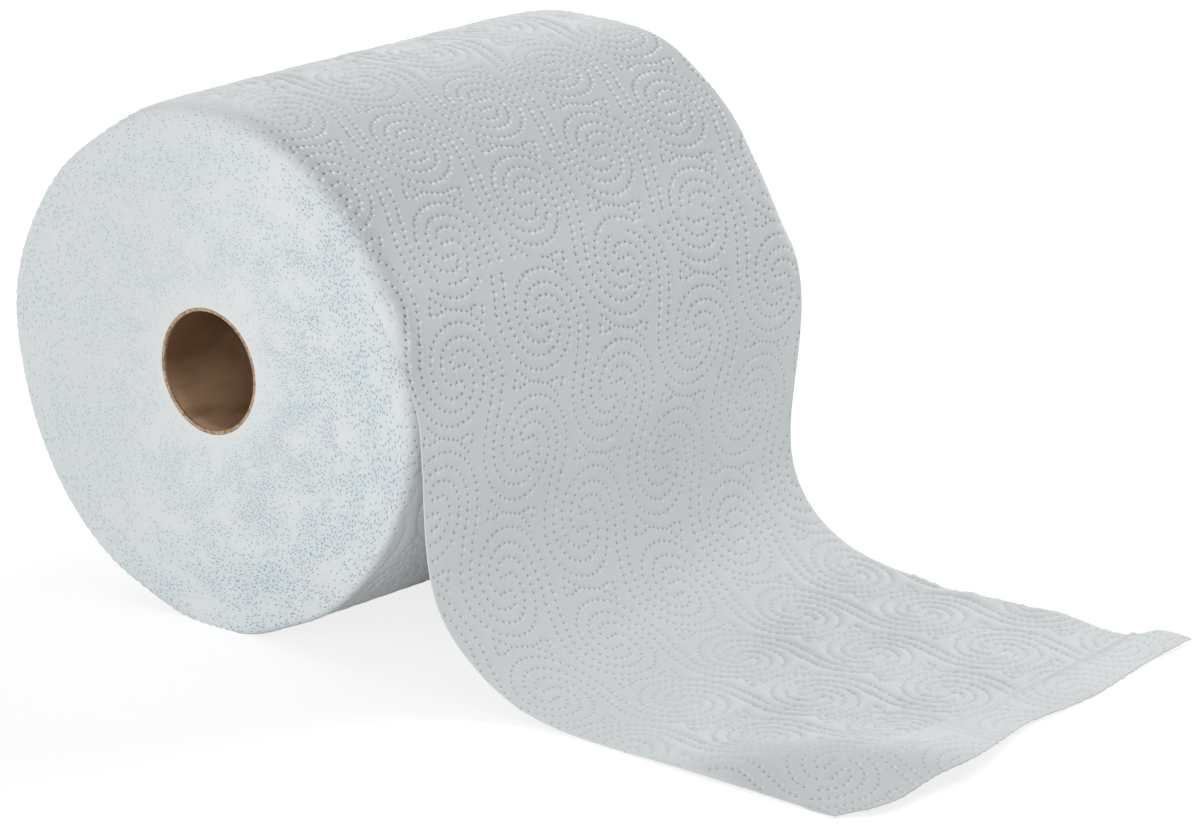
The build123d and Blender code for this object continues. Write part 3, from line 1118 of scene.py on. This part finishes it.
def core_piece(material):
    """Cardboard tube with a spiral seam inside and a slightly ragged near end."""
    columns, rows = CORE_COLUMNS, CORE_ROWS
    inner = CORE_RADIUS - CORE_WALL
    angles = np.linspace(0, 2 * math.pi, columns, endpoint=False)
    lengths = np.linspace(-HALF_WIDTH, HALF_WIDTH, rows + 1)
    lengths[1:3] = [step - HALF_WIDTH for step in WORN_BAND]
    from_worn = degrees_from(angles, WORN_ANGLE)
    ragged = np.random.default_rng(RAGGED_SEED).normal(0, RAGGED, columns)
    ragged *= bell(from_worn + RAGGED_SHIFT, RAGGED_SPREAD)

    def ring(y, outside):
        seam = (y / SEAM_PITCH + angles / (2 * math.pi)) % 1.0
        if outside:
            radius = np.full(columns, CORE_RADIUS)
        else:
            radius = inner + SEAM_STEP * smoothstep(seam, 0.0, SEAM_SLOPE) * (1 - seam)
            if y == lengths[1]:
                radius = radius + WORN_OUT * bell(from_worn, WORN_SPREAD)
            if y == -HALF_WIDTH:
                radius = radius - WORN_IN * bell(from_worn, WORN_SPREAD) + ragged
        return np.stack([radius * np.cos(angles), np.full(columns, y), radius * np.sin(angles)], 1)

    loops = [ring(y, False) for y in lengths] + [ring(y, True) for y in lengths[::-1]]
    points = np.vstack(loops)
    total = len(loops)
    faces = []
    for row in range(total):
        for column in range(columns):
            first, second = row * columns, ((row + 1) % total) * columns
            beside = (column + 1) % columns
            faces.append([first + column, first + beside, second + beside, second + column])
    cut = np.zeros(len(points))
    for row in (0, rows, rows + 1, total - 1):
        cut[row * columns:(row + 1) * columns] = 1
    core = new_mesh("core_board_tube", points, faces, {"cut": cut}, material)
    weld(core)
    return core


# Pieces

roll = wound_roll(paper_material("wound_paper", cut_face))
sheet, sheet_length = loose_sheet(paper_material("sheet_paper", lambda *_: FACE_PAPER))
core = core_piece(core_cardboard())

for piece, node, slot in (
    (roll, "paper_web", "towel_paper"),
    (sheet, "paper_web", "towel_paper"),
    (core, "core_tube", "core_board"),
):
    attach(piece, "root")
    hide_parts(node)


# Floor, light and camera

def light_path_white(nodes, lit, plain):
    """Camera, mirror and glass rays see plain; the rest see lit."""
    path = nodes.add("ShaderNodeLightPath")
    seen = nodes.math("MAXIMUM", path.outputs["Is Camera Ray"], path.outputs["Is Glossy Ray"])
    seen = nodes.math("MAXIMUM", seen, path.outputs["Is Transmission Ray"])
    node = nodes.add("ShaderNodeMixShader")
    nodes.wire(seen, node.inputs[0])
    nodes.wire(lit, node.inputs[1])
    nodes.wire(plain, node.inputs[2])
    return node.outputs[0]


FLOOR_LIT = (0.92, 0.92, 0.92, 1)
FLOOR_SHOWN = (0.30, 0.30, 0.30, 1)
FLOOR_GLOW = 0.80
FLOOR_HALF = 4000
WHITE = (1, 1, 1, 1)
AMBIENT = 0.25


def floor_material():
    """A floor that lights the roll as a pale one, and shows white with soft shadows."""
    material = bpy.data.materials.new("pale_floor")
    nodes = Nodes(material)
    lit = nodes.add("ShaderNodeBsdfDiffuse")
    lit.inputs[0].default_value = FLOOR_LIT
    shown = nodes.add("ShaderNodeBsdfDiffuse")
    shown.inputs[0].default_value = FLOOR_SHOWN
    glow = nodes.add("ShaderNodeEmission")
    glow.inputs["Strength"].default_value = FLOOR_GLOW
    both = nodes.add("ShaderNodeAddShader")
    nodes.wire(shown.outputs[0], both.inputs[0])
    nodes.wire(glow.outputs[0], both.inputs[1])
    output = nodes.add("ShaderNodeOutputMaterial")
    nodes.wire(light_path_white(nodes, lit.outputs[0], both.outputs[0]), output.inputs["Surface"])
    return material


floor = new_mesh(
    "floor",
    [(x * FLOOR_HALF, y * FLOOR_HALF, SURFACE) for x, y in ((-1, -1), (1, -1), (1, 1), (-1, 1))],
    [[0, 1, 2, 3]],
    {},
    floor_material(),
)

world = bpy.data.worlds.new("studio")
bpy.context.scene.world = world
world.use_nodes = True
sky = Nodes(world)
ambient = sky.add("ShaderNodeBackground")
ambient.inputs["Color"].default_value = WHITE
ambient.inputs["Strength"].default_value = AMBIENT
white = sky.add("ShaderNodeBackground")
white.inputs["Color"].default_value = WHITE
world_output = sky.add("ShaderNodeOutputWorld")
sky.wire(light_path_white(sky, ambient.outputs[0], white.outputs[0]), world_output.inputs["Surface"])


def soft_box(name, spot, size, power):
    """A square lamp that faces the roll."""
    data = bpy.data.lights.new(name, "AREA")
    data.size = size
    data.energy = power
    lamp = bpy.data.objects.new(name, data)
    lamp.location = spot
    lamp.rotation_euler = (-Vector(spot)).to_track_quat("-Z", "Y").to_euler()
    bpy.context.scene.collection.objects.link(lamp)


soft_box("front_left_light", (-1.1, -2.6, 0.45), 1.3, 22.5)
soft_box("front_right_light", (1.2, -1.4, 0.10), 1.0, 10.0)
soft_box("back_light", (0.2, 2.25, 1.66), 1.4, 46.0)
soft_box("top_light", (0.3, 0.0, 2.6), 1.6, 6.0)
soft_box("top_left_light", (-1.3, 0.2, 1.4), 1.2, 7.0)

# Camera: turned to the photograph's bearing, looking down, and tipped a little
BEARING = math.radians(39.754)
LOOK_DOWN = math.radians(17.013)
TIP = math.radians(0.826)
AIM = Vector((88.106, 0, -19.505)) * METRES
DISTANCE = 1784.79 * METRES
FOCAL_PIXELS = 5200
FRAME_PIXELS = 1200
SENSOR = 36

back = Vector((
    math.sin(BEARING) * math.cos(LOOK_DOWN),
    -math.cos(BEARING) * math.cos(LOOK_DOWN),
    math.sin(LOOK_DOWN),
))
right = Vector((math.cos(BEARING), math.sin(BEARING), 0))
up = back.cross(right)
tipped_right = math.cos(TIP) * right + math.sin(TIP) * up
tipped_up = math.cos(TIP) * up - math.sin(TIP) * right
camera_data = bpy.data.cameras.new("camera")
camera_data.sensor_width = SENSOR
camera_data.lens = FOCAL_PIXELS / FRAME_PIXELS * SENSOR
camera = bpy.data.objects.new("camera", camera_data)
turned = Matrix((tipped_right, tipped_up, back)).transposed().to_4x4()
camera.matrix_world = Matrix.Translation(AIM + back * DISTANCE) @ turned
bpy.context.scene.collection.objects.link(camera)
bpy.context.scene.camera = camera
bpy.context.scene.view_settings.view_transform = "Standard"
